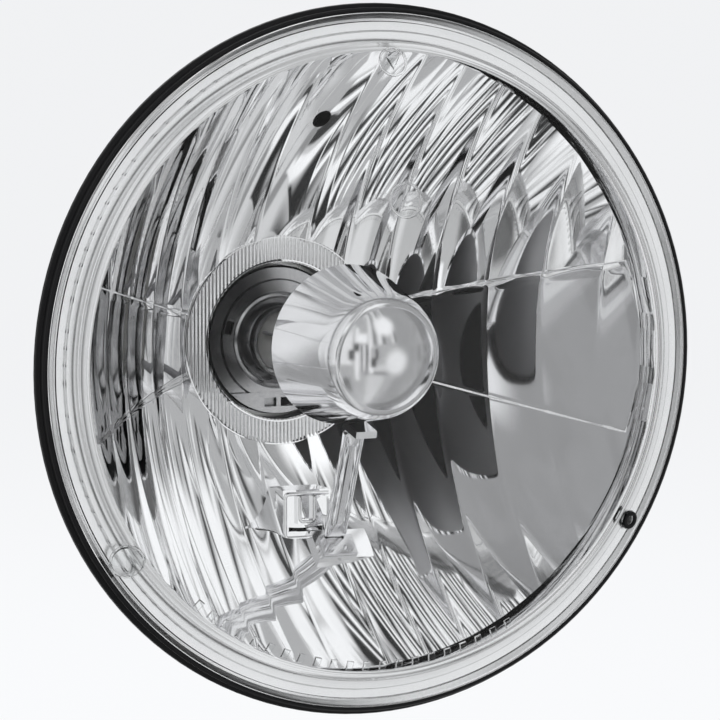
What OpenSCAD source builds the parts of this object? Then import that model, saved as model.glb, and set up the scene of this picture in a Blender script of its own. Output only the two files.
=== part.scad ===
// Round seven inch motorcycle headlight: clear moulded lens, fluted mirror reflector,
// bulb with a chromed shield in front of it and a hinged wire clip behind it.
// The lamp faces -Y and its back is +Y, with Z up and X across.
// The origin is the centre of the flat seat ring on the back of the rim.
// All sizes are in millimetres.

/* [Rim] */
// Outer diameter of the rim lip
rim_od = 178; // [172:1:184]
// Depth of the rim ring from its front edge to the seat ring on its back
rim_depth = 5; // [4.6:0.2:6]
// How far the lip stands out past the front wall of the rim
lip_width = 1; // [0.6:0.1:1.4]
// Width of the flat seat ring on the back of the rim
seat_width = 5; // [4:0.2:5.6]

/* [Lens] */
// Width of the plain band round the lens
lens_band = 9.1; // [8:0.1:10]
// How far the lens bulges forward inside the plain band
lens_bulge = 12.2; // [11:0.2:14]
// Thickness of the lens
lens_thickness = 3; // [2.6:0.1:3.4]
// Diameter of the three aiming pads
pad_d = 7.6; // [6:0.2:9]
// Height of the aiming pads and raised marks
mark_height = 0.5; // [0.3:0.1:0.8]

/* [Reflector] */
// Focal length of the mirror bowl
focal_length = 26.2; // [25:0.2:27.4]
// Depth of the edge of the mirror bowl behind the seat ring
bowl_edge_depth = 2.3; // [1.6:0.1:4]
// Wall thickness of the bowl
bowl_wall = 2.8; // [2.4:0.1:3.2]
// Width of one flute across the mirror
flute_pitch = 10.4; // [9:0.2:12]
// Depth of the hollow of each flute below its two ridges
flute_hollow = 0.36; // [0.15:0.03:0.6]
// Half angle of the sunk middle zone on either side
zone_angle = 16.5; // [13:0.5:20]
// Depth of the sunk middle zone
zone_step = 0.35; // [0.15:0.05:0.6]
// Diameter of the vent hole above the bulb
vent_d = 4.5; // [3:0.5:6]

/* [Bulb opening] */
// Diameter of the opening for the bulb
hole_d = 40; // [39.4:0.1:41]
// Width of the grooved flat ring round the opening
ring_width = 6.5; // [5.5:0.1:7.5]
// How far the grooved ring stands up from the mirror
ring_rise = 0.3; // [0.1:0.1:0.6]
// Distance between the grooves of the flat ring
groove_pitch = 1; // [0.8:0.1:1.4]
// Depth of the grooves of the flat ring
groove_depth = 0.4; // [0.2:0.05:0.5]
// Length of the neck behind the grooved ring
neck_length = 5.9; // [5.4:0.1:7]
// How far the neck and its seat ring stand out past the bulb flange
neck_border = 10.5; // [9.5:0.1:12]
// Thickness of the steel seat ring
seat_ring_t = 1.2; // [1:0.1:1.6]

/* [Bulb] */
// How far the bulb flange stands out past the collar
flange_lip = 2.6; // [2.2:0.1:2.8]
// Thickness of the bulb flange
flange_t = 1.4; // [1.2:0.1:1.8]
// Diameter of the collar that fits through the seat ring
collar_d = 37.8; // [37:0.1:38.2]
// Gap all round between the collar and the seat ring
collar_gap = 0.3; // [0.2:0.05:0.6]
// Diameter of the glass
glass_d = 16.8; // [16:0.1:17.2]
// Distance from the middle of the main filament to the tip of the glass
tip_reach = 20.5; // [18:0.5:21.5]
// Distance from the flange to the middle of the main filament
filament_reach = 26.5; // [25.5:0.1:27.5]
// Diameter of the metal base behind the flange
base_d = 30.8; // [29:0.1:31.4]
// Width of the three terminals
terminal_w = 8; // [6.5:0.1:8.4]
// Length of the three terminals
terminal_l = 10.5; // [9:0.5:12]

/* [Bulb shield] */
// Diameter of the open back edge of the shield
shield_back_d = 40.2; // [39:0.2:41]
// Diameter of the shield at its front shoulder
shield_front_d = 32.4; // [31:0.2:34]
// Length of the shield
shield_length = 29; // [28:0.2:30]
// Gap between the nose of the shield and the lens
shield_gap = 2.3; // [1.4:0.1:3]
// Height of the back edge of the shield above the lamp's axis
shield_raise = 2.7; // [2:0.1:3.2]
// Sheet thickness of the shield
shield_t = 0.8; // [0.6:0.1:1]
// Width of the leg that carries the shield
leg_width = 5.6; // [5:0.1:6.4]

/* [Wire clip] */
// Diameter of the clip wire
wire_d = 1.6; // [1.4:0.1:1.8]
// Gap between the bulb's base and each arm of the clip
arm_gap = 1.8; // [1.4:0.1:2.6]
// Gap between the clip and the parts it swings past
clip_gap = 0.3; // [0.25:0.05:0.5]

/* [Hidden] */
rim_r = rim_od / 2;
wall_r = rim_r - lip_width;
lens_r = wall_r - 1.3;
gutter_out = lens_r + 0.2;
skirt = 2.3;
gutter_in = lens_r - skirt - 0.2;
gutter_floor = -1.8;
front_y = -rim_depth;
seat_in = rim_r - 0.6 - seat_width;
bowl_r = lens_r - lens_band - 0.4;
bead_r = lens_r - lens_band;
bowl_y = bowl_edge_depth + bowl_r * bowl_r / (4 * focal_length);
hole_r = hole_d / 2;
ring_r = hole_r + ring_width;
ring_y = bowl_y - ring_r * ring_r / (4 * focal_length);
collar_r = collar_d / 2;
flange_r = collar_r + flange_lip;
neck_r = flange_r + neck_border;
neck_y = ring_y + neck_length;
ref_y = neck_y + seat_ring_t;
seat_hole_r = collar_r + collar_gap;
seat_ring_r = neck_r - 0.6;
screw_at = neck_r - 5;

// The lens: a plain sloping band, then a shallow dome.
band_rise = 3.8;
band_y = front_y - band_rise;
tip_y = band_y - lens_bulge;
dome_r = (bead_r * bead_r + lens_bulge * lens_bulge) / (2 * lens_bulge);
dome_c = tip_y + dome_r;
inner_tip_y = tip_y + lens_thickness;
inner_bead_y = band_y + 2.4;
inner_r = bead_r + 1.4;
bead_width = 2;
function band_front(r) = band_y + (r - bead_r) * (front_y - band_y) / (lens_r - 0.6 - bead_r);
inner_bulge = inner_bead_y - inner_tip_y;
inner_dome_r = (inner_r * inner_r + inner_bulge * inner_bulge) / (2 * inner_bulge);
function dome_y(r) = dome_c - sqrt(dome_r * dome_r - r * r);
function inner_dome_y(r) = inner_tip_y + inner_dome_r - sqrt(inner_dome_r * inner_dome_r - r * r);
function band_inside(r) = inner_bead_y + (r - inner_r) * (front_y + 1.5 - inner_bead_y) / (gutter_in + 0.2 - inner_r);
flange_gap = 0.3;
flange_edges = [bowl_r + 1.4, bead_r + 4.2, gutter_in];
function flange_y(k) = band_inside(flange_edges[k]) + flange_gap;
pad_at = bead_r + 3.9;
top_pad_at = bead_r - 2.8;
ring_mark_at = [3, 41];
arc_at = bead_r - 1.9;
arc_centre = 186.5;
arc_marks = 21;

// The mirror bowl and its flutes, which run up and down between planes of constant X.
function bowl(x, z) = bowl_y - (x * x + z * z) / (4 * focal_length);
grid_r = bowl_r - 0.3;
side_ridges = floor((bowl_r - 2.6) / flute_pitch + 0.3);
function ridge(i) = sign(i) * (abs(i) - 0.3) * flute_pitch;
inner_ridges = [for (i = [-side_ridges:side_ridges]) if (i != 0) ridge(i)];
ridges = concat([-grid_r], inner_ridges, [grid_r]);
flutes = len(ridges) - 1;
steps = 3;
function column(k, s) = ridges[k] + (ridges[k + 1] - ridges[k]) * s / steps;
function hollow(k, s) = flute_hollow * (1 - pow(2 * s / steps - 1, 2));
columns = concat([for (k = [0:flutes - 1]) for (s = [0:steps - 1]) column(k, s)], [grid_r]);
hollows = concat([for (k = [0:flutes - 1]) for (s = [0:steps - 1]) hollow(k, s)], [0]);
n_col = len(columns);
n_out = 9;
n_mid = 6;
n_row = 2 * n_out + n_mid + 3;
function half_chord(x) = sqrt(bowl_r * bowl_r - x * x);
function zone_z(x) = min(tan(zone_angle) * max(abs(x), 14), 0.9 * half_chord(x));
function rows(m, f) = concat(
    [for (j = [0:n_out]) [-m + (m - f) * j / n_out, 0]],
    [for (j = [0:n_mid]) [(f - 0.3) * (2 * j / n_mid - 1), zone_step]],
    [for (j = [0:n_out]) [f + (m - f) * j / n_out, 0]]
);
mirror = [
    for (i = [0:n_col - 1])
        for (p = rows(half_chord(columns[i]), zone_z(columns[i])))
            [columns[i], bowl(columns[i], p[0]) - flute_hollow + hollows[i] + p[1], p[0]]
];
middle = floor(n_col / 2);
border = concat(
    [for (i = [middle:n_col - 1]) i * n_row],
    [for (j = [1:n_row - 1]) (n_col - 1) * n_row + j],
    [for (i = [1:n_col - 1]) (n_col - 1 - i) * n_row + n_row - 1],
    [for (j = [1:n_row - 1]) n_row - 1 - j],
    [for (i = [1:middle - 1]) i * n_row]
);
n_border = len(border);
open_y = front_y - 8;
mouth = [for (k = border) [mirror[k][0], open_y, mirror[k][2]]];
first_mouth = n_col * n_row;

// The back of the bowl, one wall thickness behind the mirror.
function slope_len(r) = sqrt(1 + pow(r / (2 * focal_length), 2));
function back_r(r) = r + bowl_wall * r / (2 * focal_length) / slope_len(r);
function back_y(r) = bowl(r, 0) + bowl_wall / slope_len(r);
back_from = 31;
back_steps = 12;
back_line = [
    for (k = [0:back_steps])
        let (r = bowl_r + (back_from - bowl_r) * k / back_steps)
            [back_r(r), back_y(r)]
];

// The block that stands on the bowl below the bulb, and the sloping pad beside it.
block_w = 13;
block_h = 18;
block_run = 30;
block_top = -(ring_r + 9.8);
block_y = bowl(0, block_top - 12.6);
pad_slope = 46.3;
pad_x = 9.6;
pad_z = -50;
pad_y = bowl(18, -50.5) + 0.6;

// The blind vent hole above the bulb.
vent_z = 58;
vent_end = bowl(0, vent_z) + 7;

// The bulb.
glass_r = glass_d / 2;
collar_front = ref_y - 5;
tube_front = ref_y - 12;
filament_y = ref_y - filament_reach;
glass_tip = filament_y - tip_reach;
coil_l = 4.8;
low_y = filament_y - 6.5;
high_end = filament_y + coil_l / 2 + 0.5;
low_end = low_y + coil_l / 2 + 0.5;
base_r = base_d / 2;
base_y = ref_y + flange_t;
insulator_y = base_y + 8;
terminal_y = insulator_y + 4.4;

// The shield, in a frame at the centre of its back edge.
shield_front = inner_tip_y + shield_gap;
shield_y = shield_front + shield_length;
shield_droop = 1.9;
shield_br = shield_back_d / 2;
shield_fr = shield_front_d / 2;
nose_r = shield_fr - 3.6;
shoulder = shield_length - 8.6;
shield_line = [
    [shield_br, 0], [shield_br - 0.9, -4], [shield_br - 1.6, -8],
    [shield_fr + 1.8, -shoulder + 7], [shield_fr + 0.9, -shoulder + 3], [shield_fr, -shoulder],
    [shield_fr - 0.3, -shoulder - 1.6], [shield_fr - 0.9, -shoulder - 3.1],
    [shield_fr - 1.8, -shoulder - 4.5], [shield_fr - 2.9, -shoulder - 5.4],
    [nose_r, -shoulder - 5.7]
];
nose_line = [
    [nose_r, -shoulder - 5.2], [nose_r - 0.4, -shoulder - 5.2], [nose_r - 0.6, -shoulder - 6.1],
    [nose_r - 2.2, -shoulder - 7], [nose_r - 4.4, -shoulder - 7.75], [nose_r - 7, -shoulder - 8.25],
    [nose_r - 9.6, -shoulder - 8.5], [0, -shoulder - 8.6]
];
leg_t = 1;
leg_gap = 0.15;
foot_in = [-3.2, 2.2, leg_t / 2];
leg_foot = [
    pad_x + foot_in[0],
    pad_y + foot_in[1] * cos(pad_slope) - foot_in[2] * sin(pad_slope),
    pad_z + foot_in[1] * sin(pad_slope) + foot_in[2] * cos(pad_slope)
];
leg_top = [2, shield_y - 1.8, shield_raise - shield_br + 0.4 - leg_t / 2 - leg_gap];
leg_run = leg_top - leg_foot;
leg_len = norm(leg_run);
leg_lean = asin(leg_run[0] / leg_len);
leg_tilt = atan2(-leg_run[1], leg_run[2]);

// The wire clip and its hinge.
wire_r = wire_d / 2;
wire_y = base_y + wire_r + clip_gap;
hinge_z = seat_ring_r - 4.3;
eye_r = wire_r + clip_gap;
eye_out = eye_r + 1;
arm_x = base_r + arm_gap + wire_r;
foot_x = 6;
foot_z = 5 - seat_ring_r;
elbow_z = foot_z + 12.4;
bracket_x = arm_x - 5.6;
eye_w = 3.6;
bracket_rivet_r = 1.5;
bracket_rivet_x = bracket_x - eye_w - bracket_rivet_r - 2.3;
catch_w = 10;
catch_rivet_x = catch_w / 2 - 1.5;

function rivet_ring(r) = [for (a = [20, 160, 200, 340]) [r * cos(a), r * sin(a)]];

module on_axis() {
    rotate([-90, 0, 0]) children();
}

module disc(r, y0, y1, fn = 96) {
    translate([0, y0, 0]) on_axis() cylinder(r = r, h = y1 - y0, $fn = fn);
}

module rod(r, a, b, fn = 20) {
    d = b - a;
    translate(a) rotate([0, acos(d[2] / norm(d)), atan2(d[1], d[0])])
        cylinder(r = r, h = norm(d), $fn = fn);
}

module lens_mark(r, turn) {
    rotate([0, turn, 0]) translate([0, dome_c, 0]) rotate([-asin(r / dome_r), 0, 0])
        translate([0, -dome_r, 0]) children();
}

module ring_mark() {
    lens_mark(norm(ring_mark_at), atan2(ring_mark_at[0], ring_mark_at[1]))
        translate([0, -mark_height, 0]) on_axis() children();
}

module lens_outline() {
    polygon(concat(
        [[0, front_y + 2], [gutter_in + 0.2, front_y + 2], [gutter_in + 0.2, -gutter_depth()], [lens_r, -gutter_depth()]],
        [[lens_r, front_y + 0.6], [lens_r - 0.6, front_y]],
        [[bead_r + bead_width, band_front(bead_r + bead_width)], [bead_r + 0.7 * bead_width, band_y - 0.1]],
        [[bead_r + 0.35 * bead_width, band_y - 0.35], [bead_r + 0.1 * bead_width, band_y - 0.25]],
        [for (k = [0:14]) let (r = bead_r * (1 - k / 14)) [r, dome_y(r)]]
    ));
}

function gutter_depth() = -gutter_floor + 0.6;

module lens() {
    color([0.88, 0.93, 0.95, 0.35])
        difference() {
            union() {
                on_axis() rotate_extrude($fn = 120) lens_outline();
                for (p = [[top_pad_at, 2.3], [pad_at, 120], [pad_at, 240]])
                    lens_mark(p[0], p[1]) translate([0, -mark_height, 0]) on_axis() cylinder(d = pad_d, h = 3, $fn = 32);
                ring_mark() cylinder(d = 9.2, h = 1.5, $fn = 32);
                for (k = [0:arc_marks - 1])
                    lens_mark(arc_at, arc_centre + 34 - 68 * k / (arc_marks - 1))
                        translate([-0.9, -mark_height, -1.2]) cube([1.8, 1.5, 2.4]);
            }
            ring_mark() translate([0, 0, -1]) cylinder(d = 7.8, h = 1.3, $fn = 32);
            lens_mark(top_pad_at, 2.3) translate([0, -mark_height - 1, 0]) on_axis() linear_extrude(height = 1.2)
                polygon([[-1.8, 1.2], [1.8, 1.2], [0, -2]]);
            on_axis() rotate_extrude($fn = 120)
                polygon(concat(
                    [[0, front_y + 3], [gutter_in + 0.2, front_y + 3], [gutter_in + 0.2, front_y + 1.5]],
                    [for (k = [0:12]) let (r = inner_r * (1 - k / 12)) [r, inner_dome_y(r)]]
                ));
        }
}

module lens_sealant() {
    color([0.75, 0.76, 0.77])
        on_axis() rotate_extrude($fn = 120)
            polygon([
                [gutter_in, gutter_floor], [gutter_in, gutter_floor - 0.4],
                [gutter_out, gutter_floor - 0.4], [gutter_out, gutter_floor]
            ]);
}

module body_outline() {
    polygon(concat(
        [[0, flange_y(0)], [flange_edges[0], flange_y(0)]],
        [for (k = [1:len(flange_edges) - 1]) each [[flange_edges[k - 1], flange_y(k)], [flange_edges[k], flange_y(k)]]],
        [[gutter_in, gutter_floor], [gutter_out, gutter_floor], [gutter_out, front_y + 0.15]],
        [[gutter_out + 0.25, front_y], [wall_r - 0.4, front_y], [wall_r, front_y + 0.4]],
        [[wall_r, front_y + 2.5], [rim_r - 0.2, front_y + 2.9], [rim_r, front_y + 3.2]],
        [[rim_r, -0.7], [rim_r - 0.6, 0], [seat_in, 0], [seat_in - 0.6, 0.4], [seat_in - 1.4, back_line[0][1] - 0.6]],
        back_line,
        [[neck_r, back_y(neck_r) + 1.4], [neck_r, neck_y], [0, neck_y]]
    ));
}

module bowl_space() {
    polyhedron(
        points = concat(mirror, mouth),
        faces = concat(
            [for (i = [0:n_col - 2]) for (j = [0:n_row - 2])
                each [
                    [i * n_row + j, (i + 1) * n_row + j + 1, i * n_row + j + 1],
                    [i * n_row + j, (i + 1) * n_row + j, (i + 1) * n_row + j + 1]
                ]],
            [for (k = [0:n_border - 1])
                [border[k], first_mouth + k, first_mouth + (k + 1) % n_border, border[(k + 1) % n_border]]],
            [[for (k = [n_border - 1:-1:0]) first_mouth + k]]
        )
    );
}

module grooves() {
    n = ceil((ring_r + 1) / groove_pitch);
    intersection() {
        disc(ring_r - 0.3, ring_y - ring_rise - 1, ring_y + 1);
        translate([0, ring_y - ring_rise, -ring_r]) linear_extrude(height = 2 * ring_r)
            polygon(concat(
                [for (i = [-n:n]) each [[i * groove_pitch, 0.02], [(i + 0.5) * groove_pitch, groove_depth]]],
                [[(n + 0.9) * groove_pitch, 0.02], [(n + 0.9) * groove_pitch, -0.8], [-n * groove_pitch, -0.8]]
            ));
    }
}

module block() {
    translate([-block_w / 2, block_y, block_top - block_h]) cube([block_w, block_run, block_h]);
}

module block_relief() {
    translate([-block_w / 2 + 1.4, block_y - 1, block_top - 10.6]) cube([block_w - 2.8, 1.7, 9.2]);
    translate([-block_w / 2 + 1.9, block_y - 1, block_top - 10.6]) cube([block_w - 3.8, 2.9, 1.5]);
    translate([block_w / 2 - 1.4, block_y - 1, block_top - 4.7]) on_axis() cylinder(d = 5.6, h = 3.2, $fn = 32);
}

module block_rib() {
    difference() {
        translate([-2.6, block_y - 0.4, block_top - 8.6]) cube([5.2, 2, 7]);
        translate([-1.5, block_y - 1.4, block_top - 7.4]) cube([3, 3, 8]);
    }
}

module on_pad() {
    translate([pad_x, pad_y, pad_z]) rotate([pad_slope, 0, 0]) children();
}

module slope_pad() {
    on_pad() translate([-9, -4.4, -12]) cube([18, 8.8, 12]);
}

module gussets() {
    for (a = [30:60:330])
        rotate([0, a, 0]) translate([-0.9, 0, 0]) rotate([90, 0, 90]) linear_extrude(height = 1.8)
            polygon([
                [back_y(neck_r) - 1.6, neck_r - 2], [neck_y - 1.6, neck_r - 2], [neck_y - 1.6, neck_r],
                [back_y(neck_r + 9) + 0.4, back_r(neck_r + 9)], [back_y(neck_r + 9) - 1.4, back_r(neck_r + 9) - 1.2]
            ]);
}

module back_lugs() {
    for (a = [0, 120, 240])
        rotate([0, a, 0]) translate([-5, 0.2, seat_in - 5]) cube([10, 7, 4.2]);
}

module screw_holes() {
    for (p = rivet_ring(screw_at))
        translate([p[0], neck_y - 4.6, p[1]]) on_axis() cylinder(d = 2.4, h = 6, $fn = 20);
}

module reflector() {
    color([0.1, 0.1, 0.11])
        difference() {
            union() {
                on_axis() rotate_extrude($fn = 120) body_outline();
                gussets();
                back_lugs();
                translate([0, vent_end - 11, vent_z]) on_axis() cylinder(d = vent_d + 4, h = 12.5, $fn = 32);
            }
            difference() {
                bowl_space();
                disc(ring_r, ring_y - ring_rise, ring_y + 12);
                difference() {
                    block();
                    block_relief();
                }
                block_rib();
                slope_pad();
            }
            disc(hole_r, ring_y - 2, neck_y + 2);
            grooves();
            translate([0, 20, vent_z]) on_axis() cylinder(d = vent_d, h = vent_end - 20, $fn = 24);
            screw_holes();
        }
}

module in_shield() {
    translate([0, shield_y, shield_raise]) rotate([shield_droop, 0, 0]) children();
}

function inward(p, q, t) = let (d = q - p) p + t * [-abs(d[1]), -d[0]] / norm(d);

module bulb_shield() {
    inner = [for (k = [0:len(shield_line) - 2]) inward(shield_line[k], shield_line[k + 1], shield_t)];
    color([0.86, 0.87, 0.88])
        in_shield() on_axis() rotate_extrude($fn = 72)
            polygon(concat(
                shield_line, nose_line,
                [[0, -shoulder - 8.6 + shield_t], [nose_r - 5, -shoulder - 7.9 + shield_t]],
                [[nose_r - 1.2, -shoulder - 5.2 + shield_t]],
                [for (k = [len(inner) - 2:-1:1]) inner[k]],
                [[shield_br - shield_t, 0]]
            ));
}

module leg_frame() {
    translate(leg_foot) rotate([leg_tilt, 0, 0]) rotate([0, leg_lean, 0]) children();
}

module shield_leg() {
    tab_slope = atan2(0.9, 4);
    color([0.84, 0.85, 0.86]) {
        difference() {
            union() {
                leg_frame() translate([-leg_width / 2, -leg_t / 2, 0]) cube([leg_width, leg_t, leg_len]);
                leg_frame() translate([-1.5, -leg_t / 2 - 0.6, 5]) cube([3, 1, leg_len - 12]);
                leg_frame() translate([0, -leg_t / 2 - 0.6, leg_len - 7]) on_axis() cylinder(r = 1.5, h = 1, $fn = 20);
                leg_frame() translate([0, -leg_t / 2 - 0.6, 5]) on_axis() cylinder(r = 1.5, h = 1, $fn = 20);
                translate(leg_top) rotate([0, 90, 0]) cylinder(r = leg_t / 2 + 0.1, h = leg_width, center = true, $fn = 20);
                in_shield() translate([2 - leg_width / 2, -1.8, -shield_br + 0.4]) rotate([tab_slope, 0, 0])
                    translate([0, -8, -leg_t - leg_gap]) cube([leg_width, 8, leg_t + 0.8]);
            }
            in_shield() on_axis() rotate_extrude($fn = 72)
                polygon(concat(
                    [[0, 3], [shield_br + leg_gap, 3]],
                    [for (k = [0:4]) shield_line[k] + [leg_gap, 0]],
                    [[0, shield_line[4][1]]]
                ));
        }
        leg_frame() rotate([0, 90, 0]) cylinder(r = leg_t / 2, h = leg_width, center = true, $fn = 20);
        on_pad() translate([foot_in[0] - 4.5, -3.8, 0.05]) cube([9, foot_in[1] + 3.8, leg_t - 0.05]);
    }
}

module leg_rivets() {
    color([0.7, 0.71, 0.72])
        for (x = [-2.7, 2.7])
            on_pad() translate([foot_in[0] + x, -1.6, leg_t]) cylinder(d = 2.6, h = 0.7, $fn = 20);
}

module bulb_glass() {
    color([0.8, 0.85, 0.9, 0.4])
        on_axis() rotate_extrude($fn = 48)
            polygon([
                [glass_r, tube_front + 1.4], [glass_r, glass_tip + 5], [glass_r - 1, glass_tip + 2.6],
                [glass_r - 3, glass_tip + 0.9], [glass_r - 5.6, glass_tip + 0.2], [0, glass_tip],
                [0, glass_tip + 1], [glass_r - 5.6, glass_tip + 1.2], [glass_r - 3.3, glass_tip + 1.9],
                [glass_r - 1.8, glass_tip + 3.2], [glass_r - 1, glass_tip + 5.2], [glass_r - 1, tube_front + 1.4]
            ]);
}

module bulb_collar() {
    color([0.55, 0.56, 0.58])
        difference() {
            union() {
                on_axis() rotate_extrude($fn = 72)
                    polygon([
                        [collar_r, ref_y], [collar_r, collar_front + 0.5], [collar_r - 0.5, collar_front],
                        [15.6, collar_front], [15.2, collar_front - 0.8], [12.4, collar_front - 0.8],
                        [11.8, collar_front - 0.2], [glass_r + 2.8, collar_front - 0.6],
                        [glass_r + 0.9, collar_front - 4], [glass_r + 0.9, tube_front], [glass_r + 0.1, tube_front],
                        [glass_r + 0.1, collar_front - 2.4], [glass_r + 1.6, collar_front + 0.4],
                        [collar_r - 1.6, collar_front + 0.8], [collar_r - 0.8, collar_front + 1.4], [collar_r - 0.8, ref_y]
                    ]);
                intersection() {
                    disc(collar_r - 0.3, collar_front - 1, collar_front + 0.6);
                    translate([-collar_r, collar_front - 1, -collar_r]) cube([2 * collar_r, 1.6, collar_r - 13.2]);
                }
            }
            for (x = [-3.9, 0.6])
                translate([x, collar_front - 2, -16.9]) cube([3.3, 4, 2.3]);
            for (a = [75, 165, 285])
                rotate([0, a, 0]) translate([-1.7, collar_front - 2, 12.9]) cube([3.4, 4, 2]);
        }
}

module bulb_flange() {
    color([0.72, 0.73, 0.74])
        difference() {
            union() {
                disc(flange_r, ref_y, base_y);
                for (t = [[0, 9], [120, 6.4], [240, 6.4]])
                    rotate([0, t[0], 0]) translate([-t[1] / 2, ref_y, 0]) cube([t[1], flange_t, flange_r + 2.4]);
            }
            disc(collar_r - 0.8, ref_y - 1, base_y + 1);
        }
}

module bulb_base() {
    color([0.66, 0.67, 0.68])
        on_axis() rotate_extrude($fn = 64)
            polygon([
                [0, base_y], [collar_r - 0.9, base_y - flange_t], [collar_r - 0.9, base_y], [base_r, base_y],
                [base_r, insulator_y - 3], [base_r - 0.5, insulator_y - 2.6], [base_r - 0.5, insulator_y - 1.8],
                [base_r, insulator_y - 1.4], [base_r, insulator_y], [0, insulator_y]
            ]);
}

module base_insulator() {
    color([0.16, 0.15, 0.15])
        difference() {
            union() {
                disc(base_r - 1.2, insulator_y, insulator_y + 2.4, 64);
                translate([-11, insulator_y + 2, -8.4]) cube([22, 2.4, 19]);
            }
            for (x = [-8.8, 8])
                translate([x - 0.1, insulator_y + 1.2, -terminal_w / 2 - 0.1]) cube([1, 6, terminal_w + 0.2]);
            translate([-terminal_w / 2 - 0.1, insulator_y + 1.2, 7.1]) cube([terminal_w + 0.2, 6, 1]);
        }
}

module blade() {
    translate([-terminal_w / 2, insulator_y + 1.2, -0.4])
        difference() {
            cube([terminal_w, 3.2 + terminal_l, 0.8]);
            translate([terminal_w / 2, 3.2 + terminal_l - 3.4, -1]) cylinder(d = 1.8, h = 3, $fn = 20);
            for (s = [0, 1])
                translate([s * terminal_w, 3.2 + terminal_l, -1]) rotate([0, 0, 45]) cube([1.4, 1.4, 6], center = true);
        }
}

module terminal_low_beam() {
    color([0.75, 0.72, 0.6]) translate([0, 0, 7.6]) blade();
}

module terminal_high_beam() {
    color([0.75, 0.72, 0.6]) translate([8.4, 0, 0]) rotate([0, 90, 0]) blade();
}

module terminal_earth() {
    color([0.75, 0.72, 0.6]) translate([-8.4, 0, 0]) rotate([0, 90, 0]) blade();
}

module coil(y, l, z) {
    n = 9;
    color([0.5, 0.5, 0.52])
        translate([0, 0, z]) on_axis() rotate_extrude($fn = 24)
            polygon(concat(
                [[0, y - l / 2]],
                [for (i = [0:n - 1]) each [[0.45, y - l / 2 + l * i / n], [0.75, y - l / 2 + l * (i + 0.5) / n]]],
                [[0.45, y + l / 2], [0, y + l / 2]]
            ));
}

module filament_high() {
    coil(filament_y, coil_l, -0.4);
}

module filament_low() {
    coil(low_y, coil_l, 1);
}

module low_beam_cup() {
    color([0.6, 0.6, 0.62])
        translate([0, filament_y - 11.4, 0.6]) on_axis()
            difference() {
                cylinder(r = 4.6, h = 8.6, $fn = 40);
                translate([0, 0, 0.5]) cylinder(r = 4.2, h = 12, $fn = 40);
                translate([-6, -12.7, -1]) cube([12, 12, 12]);
            }
}

module lead(x, z, y_end) {
    rod(0.45, [x, tube_front + 0.6, z], [x, y_end, z]);
}

module lead_common() {
    color([0.5, 0.5, 0.52]) {
        lead(0, -5.6, filament_y - 8.4);
        rod(0.45, [0, filament_y - 8.4, -5.9], [0, filament_y - 8.4, -4.3]);
    }
}

module lead_high() {
    color([0.5, 0.5, 0.52]) {
        lead(3.6, -0.4, high_end);
        rod(0.45, [4, high_end, -0.4], [-0.3, high_end, -0.4]);
    }
}

module lead_low() {
    color([0.5, 0.5, 0.52]) {
        lead(-5.8, 2.4, low_end);
        rod(0.45, [-6.1, low_end, 2.5], [0.2, low_end, 1]);
    }
}

module bulb_cement() {
    color([0.85, 0.84, 0.8]) disc(glass_r - 1.05, tube_front + 0.6, tube_front + 2.4, 48);
}

module bulb_seat_ring() {
    color([0.78, 0.79, 0.8])
        difference() {
            disc(seat_ring_r, neck_y, ref_y);
            disc(seat_hole_r, neck_y - 1, ref_y + 1);
            for (p = rivet_ring(screw_at))
                translate([p[0], neck_y - 1, p[1]]) on_axis() cylinder(d = 3.2, h = 4, $fn = 20);
        }
}

module seat_screws() {
    color([0.7, 0.71, 0.72])
        for (p = rivet_ring(screw_at))
            translate([p[0], 0, p[1]])
                difference() {
                    union() {
                        disc(1.15, neck_y - 4.2, ref_y + 0.2, 20);
                        disc(2.4, ref_y, ref_y + 1.1, 28);
                        translate([0, ref_y + 1.1, 0]) on_axis() cylinder(r1 = 2.4, r2 = 1.6, h = 0.5, $fn = 28);
                    }
                    for (a = [0, 90])
                        rotate([0, a, 0]) translate([-0.3, ref_y + 0.7, -1.5]) cube([0.6, 3, 3]);
                }
}

module hinge_bracket() {
    color([0.74, 0.75, 0.76])
        difference() {
            union() {
                translate([-bracket_x, ref_y, hinge_z - 1.4]) cube([2 * bracket_x, 1, 3.2]);
                for (x = [-bracket_x, bracket_x - eye_w]) {
                    translate([x, wire_y, hinge_z]) rotate([0, 90, 0]) cylinder(r = eye_out, h = eye_w, $fn = 32);
                    translate([x, ref_y, hinge_z]) cube([eye_w, wire_y - ref_y, eye_out]);
                }
            }
            translate([-bracket_x - 1, wire_y, hinge_z]) rotate([0, 90, 0])
                cylinder(r = eye_r, h = 2 * bracket_x + 2, $fn = 32);
        }
}

module clip_rivets() {
    color([0.7, 0.71, 0.72]) {
        for (x = [-bracket_rivet_x, bracket_rivet_x])
            translate([x, 0, hinge_z + 0.2]) disc(bracket_rivet_r, ref_y + 1, wire_y - wire_r - clip_gap, 24);
        for (x = [-catch_rivet_x, catch_rivet_x])
            translate([x, 0, foot_z - wire_r - clip_gap - 1.9]) disc(1.4, ref_y + 1, ref_y + 1.6, 24);
    }
}

module clip_catch() {
    top = foot_z - wire_r - clip_gap;
    color([0.74, 0.75, 0.76]) {
        translate([-catch_w / 2, ref_y, top - 3.4]) cube([catch_w, 1, 3]);
        translate([-1.8, ref_y, top - 1]) cube([3.6, wire_y - ref_y + 1.4, 1]);
        translate([-1.8, ref_y + 0.9, top - 3]) cube([3.6, 0.9, 2.6]);
        translate([-1.8, wire_y + 0.9, top - 2.4]) cube([3.6, 0.9, 2]);
    }
}

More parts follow.
